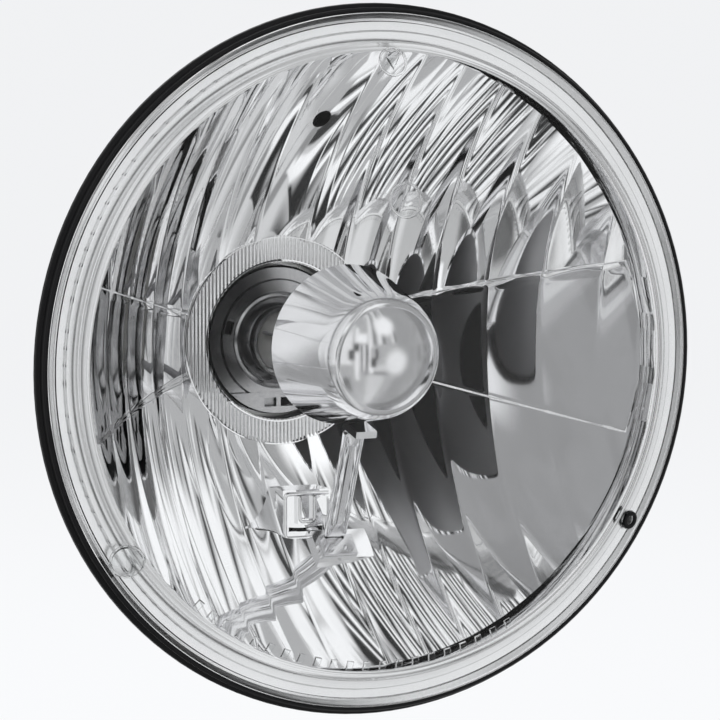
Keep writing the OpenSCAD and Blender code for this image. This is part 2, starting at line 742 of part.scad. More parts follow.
module bulb_clip() {
    color([0.8, 0.81, 0.82]) {
        translate([-arm_x, wire_y, hinge_z]) rotate([0, 90, 0]) cylinder(r = wire_r, h = 2 * arm_x, $fn = 20);
        for (s = [-1, 1]) {
            translate([s * arm_x, wire_y, hinge_z]) sphere(r = wire_r, $fn = 20);
            rod(wire_r, [s * arm_x, wire_y, elbow_z], [s * arm_x, wire_y, hinge_z]);
            translate([s * arm_x, wire_y, elbow_z]) sphere(r = wire_r, $fn = 20);
            rod(wire_r, [s * foot_x, wire_y, foot_z], [s * arm_x, wire_y, elbow_z]);
            translate([s * foot_x, wire_y, foot_z]) sphere(r = wire_r, $fn = 20);
        }
        translate([-foot_x, wire_y, foot_z]) rotate([0, 90, 0]) cylinder(r = wire_r, h = 2 * foot_x, $fn = 20);
    }
}

lens();
lens_sealant();
reflector();
bulb_shield();
shield_leg();
leg_rivets();
bulb_glass();
bulb_collar();
bulb_flange();
bulb_base();
base_insulator();
terminal_low_beam();
terminal_high_beam();
terminal_earth();
filament_high();
filament_low();
low_beam_cup();
lead_common();
lead_high();
lead_low();
bulb_cement();
bulb_seat_ring();
seat_screws();
hinge_bracket();
clip_rivets();
clip_catch();
bulb_clip();
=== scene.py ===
import math

import bmesh
import bpy
from mathutils import Matrix, Vector


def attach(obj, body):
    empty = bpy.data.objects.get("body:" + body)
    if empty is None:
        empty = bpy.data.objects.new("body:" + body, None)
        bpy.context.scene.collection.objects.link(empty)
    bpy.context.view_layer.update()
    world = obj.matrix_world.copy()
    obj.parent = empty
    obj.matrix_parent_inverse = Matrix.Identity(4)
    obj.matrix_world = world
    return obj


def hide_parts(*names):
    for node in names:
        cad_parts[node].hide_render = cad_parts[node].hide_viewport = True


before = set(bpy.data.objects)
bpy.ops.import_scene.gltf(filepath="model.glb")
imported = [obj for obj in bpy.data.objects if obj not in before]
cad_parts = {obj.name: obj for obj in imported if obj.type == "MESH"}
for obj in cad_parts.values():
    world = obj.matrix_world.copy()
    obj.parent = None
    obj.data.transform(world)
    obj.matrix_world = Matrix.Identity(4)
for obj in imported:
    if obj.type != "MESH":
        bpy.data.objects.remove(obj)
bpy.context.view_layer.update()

MM = 0.001

# Sizes in millimetres, as in the part's source
LENS_R = 86.7
FRONT_Y = -5.0
BAND_RISE = 3.8
BULGE = 12.2
GLASS_T = 3
BEAD_R = 77.6
BOWL_R = 77.2
FOCAL = 26.2
BOWL_Y = 2.3 + BOWL_R ** 2 / (4 * FOCAL)
PITCH = 10.4
RIDGE_H = 0.36
ZONE_ANGLE = 16.5
ZONE_STEP = 0.35
HOLE_R = 20.0
RING_R = 26.5
RING_Y = BOWL_Y - RING_R ** 2 / (4 * FOCAL)
NECK_Y = RING_Y + 5.9
REF_Y = NECK_Y + 1.2
TIP_Y = FRONT_Y - BAND_RISE - BULGE
DOME_R = (BEAD_R ** 2 + BULGE ** 2) / (2 * BULGE)
DOME_C = TIP_Y + DOME_R
SHIELD_GAP = 2.3
SHIELD_L = 29
SHIELD_Y = TIP_Y + GLASS_T + SHIELD_GAP + SHIELD_L
SHIELD_RAISE = 2.7

# Sizes of the mirror coat alone: half the width of a rounded crest, how far the coat lies
# in front of the solid's facets, and the hollow of the flutes in the lower, middle and upper zone
CREST = 0.7
LIFT = 0.46
HOLLOWS = (0.284, 0.284, 0.57)

# The camera, fitted to the photo: degrees to the side and up, millimetres away,
# picture points for a millimetre at the lens, and where the lens's centre lies off the picture's
CAMERA_AZIMUTH = 24.43
CAMERA_ELEVATION = 5.91
CAMERA_DISTANCE = 1500
POINTS_PER_MM = 4.02
OFF_RIGHT = 13.6
OFF_UP = 1.5
PICTURE = 720.0
SENSOR = 36.0


def set_camera():
    az = math.radians(CAMERA_AZIMUTH)
    el = math.radians(CAMERA_ELEVATION)
    look = Vector((math.sin(az) * math.cos(el), math.cos(az) * math.cos(el), -math.sin(el)))
    right = Vector((math.cos(az), -math.sin(az), 0.0))
    up = right.cross(look)
    centre = Vector((0, FRONT_Y * MM, 0))
    place = centre - look * (CAMERA_DISTANCE * MM)
    aim = centre - right * (OFF_RIGHT / POINTS_PER_MM * MM) + up * (OFF_UP / POINTS_PER_MM * MM)
    data = bpy.data.cameras.new("camera")
    data.sensor_width = SENSOR
    data.lens = POINTS_PER_MM * CAMERA_DISTANCE * SENSOR / PICTURE
    data.clip_start = 0.05
    data.clip_end = 50.0
    cam = bpy.data.objects.new("camera", data)
    bpy.context.scene.collection.objects.link(cam)
    z = (place - aim).normalized()
    x = Vector((0, 0, 1)).cross(z).normalized()
    y = z.cross(x)
    m = Matrix((x, y, z)).transposed().to_4x4()
    m.translation = place
    cam.matrix_world = m
    bpy.context.scene.camera = cam


set_camera()


# Mesh helpers
def add_mesh(name, verts, faces, sharp=None):
    """A smooth-shaded mesh from points in millimetres; edges sharper than the angle stay sharp."""
    me = bpy.data.meshes.new(name)
    me.from_pydata([tuple(float(c) * MM for c in v) for v in verts], [], faces)
    me.validate()
    me.polygons.foreach_set("use_smooth", [True] * len(me.polygons))
    if sharp is not None:
        me.set_sharp_from_angle(angle=math.radians(sharp))
    ob = bpy.data.objects.new(name, me)
    bpy.context.scene.collection.objects.link(ob)
    return ob


def revolve(name, line, n=256, closed=False, sharp=35.0):
    """A surface of revolution about the lamp's axis; line is a list of (r, y)."""
    verts = []
    faces = []
    rings = []
    for r, y in line:
        if r < 1e-6:
            rings.append([len(verts)])
            verts.append((0, y, 0))
        else:
            rings.append(list(range(len(verts), len(verts) + n)))
            for k in range(n):
                a = 2 * math.pi * k / n
                verts.append((r * math.cos(a), y, r * math.sin(a)))
    pairs = list(zip(rings[:-1], rings[1:]))
    if closed:
        pairs.append((rings[-1], rings[0]))
    for a, b in pairs:
        for k in range(n):
            q = (k + 1) % n
            if len(a) == 1 and len(b) == 1:
                continue
            if len(a) == 1:
                faces.append((a[0], b[k], b[q]))
            elif len(b) == 1:
                faces.append((a[k], b[0], a[q]))
            else:
                faces.append((a[k], b[k], b[q], a[q]))
    ob = add_mesh(name, verts, faces, sharp)
    fix_normals(ob)
    return ob


def fix_normals(ob):
    bm = bmesh.new()
    bm.from_mesh(ob.data)
    bmesh.ops.recalc_face_normals(bm, faces=bm.faces)
    bm.to_mesh(ob.data)
    bm.free()


def face_front(ob):
    """Turns every face of a thin skin towards the lens."""
    bm = bmesh.new()
    bm.from_mesh(ob.data)
    for f in bm.faces:
        if f.normal.y > 0:
            f.normal_flip()
    bm.to_mesh(ob.data)
    bm.free()


def finish_piece(ob, mats, replaces=()):
    """Gives a piece its materials, its body and the solids that it takes the place of."""
    for mat in mats:
        ob.data.materials.append(mat)
    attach(ob, "lamp")
    if replaces:
        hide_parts(*replaces)
    return ob


# Materials
def new_mat(name):
    mat = bpy.data.materials.new(name)
    mat.use_nodes = True
    nt = mat.node_tree
    bsdf = nt.nodes["Principled BSDF"]
    return mat, nt, bsdf


def add(nt, kind, **props):
    node = nt.nodes.new(kind)
    for k, v in props.items():
        setattr(node, k, v)
    return node


def noise(nt, scale, detail, rough):
    tc = add(nt, "ShaderNodeTexCoord")
    tex = add(nt, "ShaderNodeTexNoise")
    tex.inputs["Scale"].default_value = scale
    tex.inputs["Detail"].default_value = detail
    tex.inputs["Roughness"].default_value = rough
    nt.links.new(tc.outputs["Object"], tex.inputs["Vector"])
    return tex


# The part of the noise's range that colours and roughness are spread over
NOISE_LOW = 0.3
NOISE_HIGH = 0.7


def ramp(nt, source, dark, light):
    r = add(nt, "ShaderNodeValToRGB")
    first, last = r.color_ramp.elements
    first.position = NOISE_LOW
    first.color = (*dark, 1.0)
    last.position = NOISE_HIGH
    last.color = (*light, 1.0)
    nt.links.new(source, r.inputs["Fac"])
    return r


def maths(nt, operation, *values):
    node = add(nt, "ShaderNodeMath", operation=operation)
    for k, v in enumerate(values):
        if isinstance(v, (int, float)):
            node.inputs[k].default_value = v
        else:
            nt.links.new(v, node.inputs[k])
    return node.outputs[0]


def spread(nt, source, low, high):
    m = add(nt, "ShaderNodeMapRange")
    m.inputs["From Min"].default_value = NOISE_LOW
    m.inputs["From Max"].default_value = NOISE_HIGH
    m.inputs["To Min"].default_value = low
    m.inputs["To Max"].default_value = high
    nt.links.new(source, m.inputs["Value"])
    return m


BUMP_DISTANCE = 0.0001


def bump(nt, source, bsdf, strength, distance):
    b = add(nt, "ShaderNodeBump")
    b.inputs["Strength"].default_value = strength
    b.inputs["Distance"].default_value = distance
    nt.links.new(source, b.inputs["Height"])
    nt.links.new(b.outputs["Normal"], bsdf.inputs["Normal"])


def metal(name, dark, light, rough, scale, bump_strength=0.0):
    mat, nt, bsdf = new_mat(name)
    bsdf.inputs["Metallic"].default_value = 1.0
    n = noise(nt, scale, 5.0, 0.55)
    c = ramp(nt, n.outputs["Fac"], dark, light)
    nt.links.new(c.outputs["Color"], bsdf.inputs["Base Color"])
    r = spread(nt, n.outputs["Fac"], rough[0], rough[1])
    nt.links.new(r.outputs["Result"], bsdf.inputs["Roughness"])
    if bump_strength:
        bump(nt, n.outputs["Fac"], bsdf, bump_strength, BUMP_DISTANCE)
    return mat


def plastic(name, dark, light, rough, scale, bump_strength, spec=0.5):
    mat, nt, bsdf = new_mat(name)
    n = noise(nt, scale, 6.0, 0.6)
    c = ramp(nt, n.outputs["Fac"], dark, light)
    nt.links.new(c.outputs["Color"], bsdf.inputs["Base Color"])
    r = spread(nt, n.outputs["Fac"], rough[0], rough[1])
    nt.links.new(r.outputs["Result"], bsdf.inputs["Roughness"])
    bsdf.inputs["Specular IOR Level"].default_value = spec
    bump(nt, n.outputs["Fac"], bsdf, bump_strength, BUMP_DISTANCE)
    return mat


def glass(name, tint, ior, scale, shine=1.0):
    """Clear glass; shine turns its own reflection down from 1."""
    mat, nt, bsdf = new_mat(name)
    n = noise(nt, scale, 3.0, 0.5)
    c = ramp(nt, n.outputs["Fac"], tuple(t * 0.985 for t in tint), tint)
    nt.links.new(c.outputs["Color"], bsdf.inputs["Base Color"])
    bsdf.inputs["Roughness"].default_value = 0.0
    bsdf.inputs["IOR"].default_value = ior
    bsdf.inputs["Transmission Weight"].default_value = 1.0
    bsdf.inputs["Specular Tint"].default_value = (shine, shine, shine, 1.0)
    return mat


def grey(level, blue=0.0):
    """A nearly grey colour, with a little more blue where that is given."""
    return (level, level, level + blue)


# A metal or plastic has a dark and a light colour, its range of roughness, the scale of the noise
# that spreads both, and the strength of the bump. A glass has its tint, index and noise scale.
M_MIRROR = metal("mirror_coat", grey(0.90, 0.005), grey(0.93, 0.005), (0.02, 0.035), 40.0)
M_FLANGE = metal("satin_silver", grey(0.90, 0.005), grey(0.93, 0.005), (0.2, 0.26), 80.0)
M_CHROME = metal("shield_chrome", grey(0.80, 0.01), grey(0.86, 0.01), (0.03, 0.06), 60.0)
M_NOSE = metal("shield_nose", grey(0.76, 0.01), grey(0.82, 0.01), (0.13, 0.17), 60.0)
M_SHIELD_IN = metal("shield_inside", grey(0.68, 0.01), grey(0.76, 0.01), (0.42, 0.5), 60.0)
M_CAP = plastic("bulb_black_coating", grey(0.006), grey(0.01), (0.4, 0.55), 300.0, 0.1, spec=0.1)
M_STRAP = metal("strap_steel", grey(0.78, 0.01), grey(0.86, 0.01), (0.06, 0.12), 220.0)
M_BLACK = plastic("black_moulding", grey(0.003, 0.0005), grey(0.006, 0.0005), (0.34, 0.46),
                  700.0, 0.12, spec=0.15)
M_SEAL = plastic("clear_sealant", (0.52, 0.53, 0.54), (0.6, 0.61, 0.62), (0.5, 0.65), 500.0, 0.3)
M_LENS = glass("lens_glass", (0.985, 0.99, 0.99), 1.5, 30.0, 0.28)
M_QUARTZ = glass("bulb_quartz", (0.99, 0.99, 0.99), 1.46, 120.0)
M_TIN = metal("bulb_steel", (0.40, 0.40, 0.41), grey(0.48), (0.16, 0.22), 260.0)
M_ZINC = metal("zinc_steel", (0.56, 0.57, 0.56), (0.70, 0.70, 0.68), (0.25, 0.42), 260.0, 0.12)
M_WIRE = metal("spring_wire", grey(0.62, 0.01), grey(0.74, 0.01), (0.16, 0.26), 800.0, 0.1)
M_TERMINAL = metal("tinned_brass", (0.62, 0.58, 0.48), (0.74, 0.71, 0.62), (0.2, 0.34), 420.0, 0.08)
M_INSUL = plastic("base_insulator", (0.035, 0.03, 0.028), (0.06, 0.052, 0.048), (0.5, 0.68), 600.0, 0.25)
M_FILAMENT = metal("filament_wire", grey(0.22, 0.01), grey(0.34, 0.01), (0.3, 0.4), 900.0)
M_CEMENT = plastic("bulb_cement", (0.55, 0.54, 0.5), (0.68, 0.67, 0.63), (0.7, 0.85), 600.0, 0.4)


# The mirror bowl
def ridge_at(i):
    return math.copysign((abs(i) - 0.3) * PITCH, i)


RIDGES = [-BOWL_R + 0.3] + [ridge_at(i) for i in range(-7, 8) if i] + [BOWL_R - 0.3]


def flute_share(x):
    """About 0 on a ridge, whose crest is rounded, and 1 in the middle of a flute."""
    for a, b in zip(RIDGES[:-1], RIDGES[1:]):
        if a <= x <= b:
            wide = b - a
            near = min(x - a, b - x)
            if near >= CREST:
                return 4 * near / wide * (1 - near / wide)
            bend = 2 / (wide * CREST) * (1 - 2 * CREST / wide)
            low = 4 * CREST / wide * (1 - CREST / wide) - bend * CREST ** 2
            return low + bend * near ** 2
    return 0.0


def bowl_y(x, z):
    return BOWL_Y - (x * x + z * z) / (4 * FOCAL)


def zone_z(x):
    half = math.sqrt(max(BOWL_R ** 2 - x * x, 0.0))
    return min(math.tan(math.radians(ZONE_ANGLE)) * max(abs(x), 14.0), 0.9 * half)


def coat_y(x, z, zone, step):
    """Where the mirror coat lies; step goes from 0 in the outer zones to 1 in the middle zone."""
    return bowl_y(x, z) - RIDGE_H + HOLLOWS[zone] * flute_share(x) + ZONE_STEP * step - LIFT


def coat_columns():
    """The x of each column of points, closer together near the crests."""
    cuts = [0, 0.012, 0.03, 0.048, 0.067, 0.1, 0.16, 0.23, 0.31, 0.4]
    cuts += [0.5, 0.6, 0.69, 0.77, 0.84, 0.9, 0.933, 0.952, 0.97, 0.988]
    xs = []
    for a, b in zip(RIDGES[:-1], RIDGES[1:]):
        use = cuts if b - a > 6 else cuts[::2]
        xs += [a + (b - a) * c for c in use]
    return xs + [RIDGES[-1]]


def coat_rows(x):
    """The points of one column as (z, step, zone), with a soft step of 0.6 mm between the zones."""
    n_out = 64
    n_mid = 26
    n_step = 5
    half = 0.3
    m = math.sqrt(BOWL_R ** 2 - x * x)
    f = zone_z(x)
    soft = [(t, t * t * (3 - 2 * t)) for t in (j / n_step for j in range(n_step))]
    rows = [(-m + (m - f - half) * j / n_out, 0.0, 0) for j in range(n_out)]
    rows += [(-f - half + 2 * half * t, s, 0) for t, s in soft]
    rows += [(-(f - half) + 2 * (f - half) * j / n_mid, 1.0, 1) for j in range(n_mid)]
    rows += [(f - half + 2 * half * t, 1 - s, 2) for t, s in soft]
    rows += [(f + half + (m - f - half) * j / n_out, 0.0, 2) for j in range(n_out + 1)]
    return rows


def drop_loose(bm):
    loose = [v for v in bm.verts if not v.link_faces]
    bmesh.ops.delete(bm, geom=loose, context="VERTS")


def cut_vent_hole(bm):
    """Takes the faces of the vent hole away and draws the points round it onto a circle; in metres."""
    vent_z = 0.058
    vent_r = 0.0023
    gone = []
    for f in bm.faces:
        c = f.calc_center_median()
        if math.hypot(c.x, c.z - vent_z) < vent_r - 0.00005 and c.y > 0.02:
            gone.append(f)
    edge = {v for f in gone for v in f.verts if any(g not in gone for g in v.link_faces)}
    bmesh.ops.delete(bm, geom=gone, context="FACES")
    for v in edge:
        if not v.is_valid:
            continue
        d = Vector((v.co.x, v.co.z - vent_z)).normalized() * vent_r
        v.co.x = d.x
        v.co.z = vent_z + d.y
        v.co.y = coat_y(v.co.x / MM, v.co.z / MM, 2, 0) * MM


def make_mirror():
    """The mirror coat: fluted columns of points, open round the bulb and at the vent hole."""
    verts = []
    faces = []
    columns = []
    for x in coat_columns():
        rows = coat_rows(x)
        columns.append(list(range(len(verts), len(verts) + len(rows))))
        verts += [(x, coat_y(x, z, zone, step), z) for z, step, zone in rows]
    for a, b in zip(columns[:-1], columns[1:]):
        for j in range(len(a) - 1):
            q = (a[j], b[j], b[j + 1], a[j + 1])
            if any(math.hypot(verts[k][0], verts[k][2]) >= RING_R - 2 for k in q):
                faces.append(q)
    ob = add_mesh("mirror_coat", verts, faces)
    bm = bmesh.new()
    bm.from_mesh(ob.data)
    drop_loose(bm)
    cut_vent_hole(bm)
    drop_loose(bm)
    bm.to_mesh(ob.data)
    bm.free()
    face_front(ob)
    return ob


finish_piece(make_mirror(), [M_MIRROR])


def make_wall():
    """The short wall from the bowl's edge to the lens, and the flat steps behind the plain band."""
    wall = [(77.05, 3.2), (77.05, -6.1), (77.2, -6.38), (77.5, -6.42)]
    first_step = [(78.5, -6.42), (78.6, -6.3), (78.66, -4.85), (78.8, -4.72)]
    second_step = [(81.6, -4.72), (81.76, -4.6), (81.82, -3.6), (81.95, -3.42)]
    seat = [(84.05, -3.42), (84.1, -2.35), (86.84, -2.35), (86.84, -4.75)]
    ob = revolve("mirror_wall", wall + first_step + second_step + seat, 256, sharp=30)
    finish_piece(ob, [M_MIRROR, M_FLANGE])
    for p in ob.data.polygons:
        p.material_index = 1 if math.hypot(p.center.x, p.center.z) > 77.3 * MM else 0


make_wall()


def make_ring():
    """The grooved flat ring round the bulb opening, with the rounded edges outside and inside it."""
    y0 = RING_Y - 0.62
    depth = 0.42
    pitch = 1.0
    per = 8
    inner = HOLE_R + 0.15
    verts = []
    faces = []
    n = int((RING_R + 1) * per)
    xs = [k / per for k in range(-n, n + 1) if abs(k / per) < RING_R]
    xs = [-RING_R + 0.005] + xs + [RING_R - 0.005]

    def groove(x):
        t = (x / pitch) % 1.0
        return depth * (0.5 - 0.5 * math.cos(2 * math.pi * t)) ** 0.8

    def out(x):
        return math.sqrt(max(RING_R ** 2 - x * x, 0.0))

    def hole(x):
        return math.sqrt(max(inner ** 2 - x * x, 0.0))

    def strip(points, rows=4):
        base = []
        for x, a, b in points:
            ids = []
            for r in range(rows + 1):
                ids.append(len(verts))
                verts.append((x, y0 + groove(x), a + (b - a) * r / rows))
            base.append(ids)
        for p, q in zip(base[:-1], base[1:]):
            for r in range(rows):
                faces.append((p[r], q[r], q[r + 1], p[r + 1]))

    edge = inner - 0.001
    mid = [-edge] + [x for x in xs if abs(x) < inner - 0.01] + [edge]
    strip([(x, hole(x), out(x)) for x in mid])
    strip([(x, -out(x), -hole(x)) for x in mid])
    strip([(x, -out(x), out(x)) for x in [v for v in xs if v < -inner] + [-edge]], 12)
    strip([(x, -out(x), out(x)) for x in [edge] + [v for v in xs if v > inner]], 12)
    ring = add_mesh("grooved_ring", verts, faces)
    face_front(ring)
    rim_line = [(RING_R - 0.35, -0.02), (RING_R - 0.1, 0), (RING_R, 0.25), (RING_R, 2.2)]
    lip_line = [(inner + 0.5, 0.02), (inner + 0.12, 0.04), (inner, 0.3), (inner - 0.02, 1.0)]
    rim = revolve("grooved_ring_edge", [(r, y0 + y) for r, y in rim_line], 200)
    lip = revolve("grooved_ring_lip", [(r, y0 + y) for r, y in lip_line], 200)
    return ring, rim, lip


for piece in make_ring():
    finish_piece(piece, [M_MIRROR])


# The lens
def dome_y(r):
    return DOME_C - math.sqrt(DOME_R ** 2 - r * r)


def make_lens():
    """The glass: a dome with a bead round it and a sloping band, hollow behind."""
    inner_bead_y = FRONT_Y - BAND_RISE + 2.4
    inner_r = BEAD_R + 1.4
    inner_tip = TIP_Y + GLASS_T
    bulge = inner_bead_y - inner_tip
    ir = (inner_r ** 2 + bulge ** 2) / (2 * bulge)
    n = 40
    dome = [(BEAD_R - 0.5) * k / n for k in range(n + 1)]
    line = [(r, dome_y(r)) for r in dome]
    bead = [(-0.2, -3.82), (0.0, -3.92), (0.3, -4.12), (0.8, -4.16)]
    bead += [(1.4, -3.9), (1.8, -3.45), (2.0, -3.05), (2.25, -2.82)]
    line += [(BEAD_R + r, FRONT_Y + y) for r, y in bead]
    edge = [(-0.8, -0.16), (-0.35, 0.12), (-0.08, 0.4), (0, 0.8)]
    line += [(LENS_R + r, FRONT_Y + y) for r, y in edge]
    line += [(LENS_R, -2.4), (84.4, -2.4), (84.4, FRONT_Y + 1.5)]
    line += [(inner_r + 0.5, inner_bead_y + 0.19), (inner_r, inner_bead_y)]
    hollow = [inner_r * k / n for k in range(n - 1, -1, -1)]
    line += [(r, inner_tip + ir - math.sqrt(ir ** 2 - r * r)) for r in hollow]
    return revolve("lens_glass", line, 288, sharp=28)


finish_piece(make_lens(), [M_LENS], ("lens",))


def on_dome(r, turn):
    """Puts local -Y on the lens's outward direction at radius r, turned from the top."""
    tilt = Matrix.Rotation(-math.asin(r / DOME_R), 4, "X")
    about = Matrix.Rotation(math.radians(turn), 4, "Y")
    m = about @ Matrix.Translation((0, DOME_C, 0)) @ tilt
    return m @ Matrix.Translation((0, -DOME_R, 0))


def on_band(r, turn):
    """The same for the sloping band round the dome."""
    slope = math.atan2(BAND_RISE, LENS_R - 0.6 - BEAD_R)
    y = FRONT_Y - BAND_RISE + (r - BEAD_R) * math.tan(slope)
    about = Matrix.Rotation(math.radians(turn), 4, "Y")
    return about @ Matrix.Translation((0, y, r)) @ Matrix.Rotation(-slope, 4, "X")


def place(ob, matrix):
    """Moves the points of a piece that was drawn in millimetres round the origin."""
    scaled = matrix.copy()
    scaled.translation = matrix.translation * MM
    ob.data.transform(scaled)
    return ob


def lens_pad(name, where, radius, height, inner=0.0, mat=M_LENS):
    """A thin round pad, or a ring when inner is set, that stands on the outside of the lens."""
    e = min(0.18, height * 0.45)
    bottom = -0.02
    line = [(inner, bottom), (radius, bottom), (radius, -height + e)]
    line += [(radius - 0.3 * e, -height + 0.3 * e), (radius - e, -height)]
    if inner:
        line += [(inner + e, -height), (inner + 0.3 * e, -height + 0.3 * e), (inner, -height + e)]
    else:
        line.append((0.0, -height))
    ob = revolve(name, line, 64, closed=bool(inner), sharp=35)
    finish_piece(place(ob, where), [mat])


def lens_bar(name, where, shape, height):
    """A thin raised mark on the lens, with a flat top and sloping sides; shape is its outline."""
    n = len(shape)
    cx, cz = (sum(p[k] for p in shape) / n for k in (0, 1))
    verts = [(x, -0.02, z) for x, z in shape]
    verts += [(x, -height * 0.6, z) for x, z in shape]
    verts += [(cx + (x - cx) * 0.8, -height, cz + (z - cz) * 0.85) for x, z in shape]
    faces = [tuple(range(n))]
    for low in (0, n):
        for k in range(n):
            q = (k + 1) % n
            faces.append((low + k, low + q, low + n + q, low + n + k))
    faces.append(tuple(range(2 * n, 3 * n)))
    ob = add_mesh(name, verts, faces, 30)
    fix_normals(ob)
    finish_piece(place(ob, where), [M_LENS])


TOP_PAD_AT = BEAD_R - 2.8
PAD_AT = BEAD_R + 3.9
ARC_AT = BEAD_R - 1.9
lens_pad("top_mark_ring", on_dome(TOP_PAD_AT, 2.3), 3.8, 0.55, 3.2)
lens_bar("top_mark_arrow", on_dome(TOP_PAD_AT, 2.3), [(-1.8, 1.2), (1.8, 1.2), (0, -2.0)], 0.5)
lens_pad("lens_ring_mark", on_dome(math.hypot(3, 41), math.degrees(math.atan2(3, 41))), 4.6, 0.5, 3.9)
lens_pad("aiming_pad_left", on_band(PAD_AT, 235.5), 3.8, 0.9)
lens_pad("aiming_pad_left_ring", on_band(PAD_AT, 235.5), 4.4, 0.45, 3.95)
right_pad = on_band(PAD_AT + 1.3, 121.5)
lens_pad("aiming_pad_right", right_pad, 2.5, 0.3)
# The black ring round the right aiming pad is painted shade. It stands for the dark edge that refraction
# in the pad's glass gives; there is no black part there.
lens_pad("aiming_pad_right_painted_dark_ring", right_pad, 2.3, 0.7, 1.25, M_BLACK)
for k in range(21):
    where = on_dome(ARC_AT, 186.5 + 34 - 68 * k / 20)
    lens_bar(f"arc_mark_{k + 1}", where, [(-0.9, -1.2), (0.9, -1.2), (0.9, 1.2), (-0.9, 1.2)], 0.5)


# The shield in front of the bulb
def bend(t, a, corner, b):
    """A point on the curve from a to b that leans towards the corner."""
    return (1 - t) ** 2 * a + 2 * t * (1 - t) * corner + t * t * b


def make_shield():
    """A tapered cup, open to the bulb, with a rolled shoulder and a domed nose set into its front."""
    around = 200
    back_r = 20.1
    shoulder_r = 16.5
    shoulder_y = -17.6
    corner_r = 15.4
    corner_y = -23.2
    seam_r = 13.0
    seam_y = -23.6
    nose_round = 18.5
    cone = [(back_r + (shoulder_r - back_r) * t / 9, shoulder_y * t / 9) for t in range(10)]
    turn = []
    for k in range(1, 15):
        t = k / 14
        turn.append((bend(t, shoulder_r, corner_r, seam_r), bend(t, shoulder_y, corner_y, seam_y)))
    seam = [(seam_r - 0.08, seam_y + 0.12), (seam_r - 0.2, seam_y + 0.02)]
    full = math.asin((seam_r - 0.2) / nose_round)
    centre_y = seam_y + 0.02 + nose_round * math.cos(full)
    turns = [full * k / 18 for k in range(17, -1, -1)]
    nose = [(nose_round * math.sin(a), centre_y - nose_round * math.cos(a)) for a in turns]
    outside = cone + turn + seam + nose
    inside = [(0.0, nose[-1][1] + 0.8), (seam_r - 1.2, seam_y + 0.9)]
    inside += [(r - 0.8, y + 0.3) for r, y in reversed(turn[:9])]
    inside += [(r - 0.8, y + 0.1) for r, y in reversed(cone)]
    ob = revolve("shield_shell", outside + inside, around, closed=True, sharp=40)
    lean = Matrix.Translation((0, SHIELD_Y * MM, SHIELD_RAISE * MM))
    lean = lean @ Matrix.Rotation(math.radians(2.3), 4, "Z")
    lean = lean @ Matrix.Rotation(math.radians(3.6), 4, "X")
    ob.data.transform(lean)
    finish_piece(ob, [M_CHROME, M_NOSE, M_SHIELD_IN], ("bulb_shield",))
    first_nose = around * (len(cone) + 4)
    first_inside = around * (len(outside) - 1) + 1
    for p in ob.data.polygons:
        low = min(p.vertices)
        p.material_index = 2 if low >= first_inside else 1 if low >= first_nose else 0


make_shield()


def make_black_cap():
    """The black coating on the tip of the bulb's glass."""
    r = 8.46
    tip = REF_Y - 47.06
    turns = [math.pi / 2 * k / 10 for k in range(5, 11)]
    line = [(2.8 + (r - 2.8) * math.sin(a), tip + 5.0 * (1 - math.cos(a))) for a in turns]
    return revolve("bulb_black_cap", line + [(r, tip + 14.0)], 96, sharp=40)


finish_piece(make_black_cap(), [M_CAP])


# The leg and the block below the bulb, in millimetres, as in the part's source
PAD_X = 9.6
PAD_Z = -50.0
PAD_Y = bowl_y(18, -50.5) + 0.6
PAD_COS = math.cos(math.radians(46.3))
PAD_SIN = math.sin(math.radians(46.3))
FOOT_Y = PAD_Y + 2.2 * PAD_COS - 0.5 * PAD_SIN
FOOT_Z = PAD_Z + 2.2 * PAD_SIN + 0.5 * PAD_COS
LEG_FOOT = Vector((PAD_X - 3.2, FOOT_Y, FOOT_Z))
LEG_TOP = Vector((2, SHIELD_Y - 1.8, SHIELD_RAISE - 20.1 + 0.4 - 0.65))
BLOCK_TOP = -(RING_R + 9.8)
BLOCK_Y = bowl_y(0, BLOCK_TOP - 12.6)


def make_leg_skin():
    """The pressed front of the leg: rolled edges and a round rib, a thin skin on the flat strap."""
    half = [(0.0, 1.05), (0.6, 1.0), (1.1, 0.88), (1.45, 0.7), (1.62, 0.3), (1.8, 0.14)]
    half += [(2.0, 0.3), (2.3, 0.5), (2.6, 0.46), (2.84, 0.2), (2.9, -0.9)]
    across = [(-u, h) for u, h in reversed(half[1:])] + half
    run = LEG_TOP - LEG_FOOT
    side = Vector((1, 0, 0))
    front = run.cross(side).normalized()
    if front.y > 0:
        front = -front
    side = front.cross(run).normalized()
    if side.x < 0:
        side = -side
    stops = [0.03, 0.06, 0.1, 0.15] + [0.15 + 0.72 * k / 24 for k in range(1, 25)] + [0.9, 0.93, 0.955]
    verts = []
    faces = []
    for t in stops:
        rib = max(0.0, min(1.0, (t - 0.05) / 0.08, (0.94 - t) / 0.06))
        for u, h in across:
            low = 0.16 if abs(u) < 1.7 else h
            verts.append(LEG_FOOT + run * t + side * u + front * (0.5 + low + (h - low) * rib))
    n = len(across)
    for k in range(len(stops) - 1):
        a = k * n
        b = a + n
        faces += [(a + i, a + i + 1, b + i + 1, b + i) for i in range(n - 1)]
    ob = add_mesh("leg_skin", verts, faces, 50)
    fix_normals(ob)
    return ob


finish_piece(make_leg_skin(), [M_STRAP])


def tube(name, points, radius, around=10):
    """A round bead along a line of points."""
    verts = []
    faces = []
    n = len(points)
    for k in range(n):
        before = points[max(k - 1, 0)]
        after = points[min(k + 1, n - 1)]
        run = (Vector(after) - Vector(before)).normalized()
        out = Vector((0, -1, 0))
        side = run.cross(out).normalized()
        for i in range(around):
            a = 2 * math.pi * i / around
            off = side * (radius * math.cos(a)) + out * (radius * math.sin(a))
            verts.append(Vector(points[k]) + off)
    for k in range(n - 1):
        a = k * around
        b = a + around
        for i in range(around):
            j = (i + 1) % around
            faces.append((a + i, a + j, b + j, b + i))
    ob = add_mesh(name, verts, faces, 60)
    fix_normals(ob)
    return ob


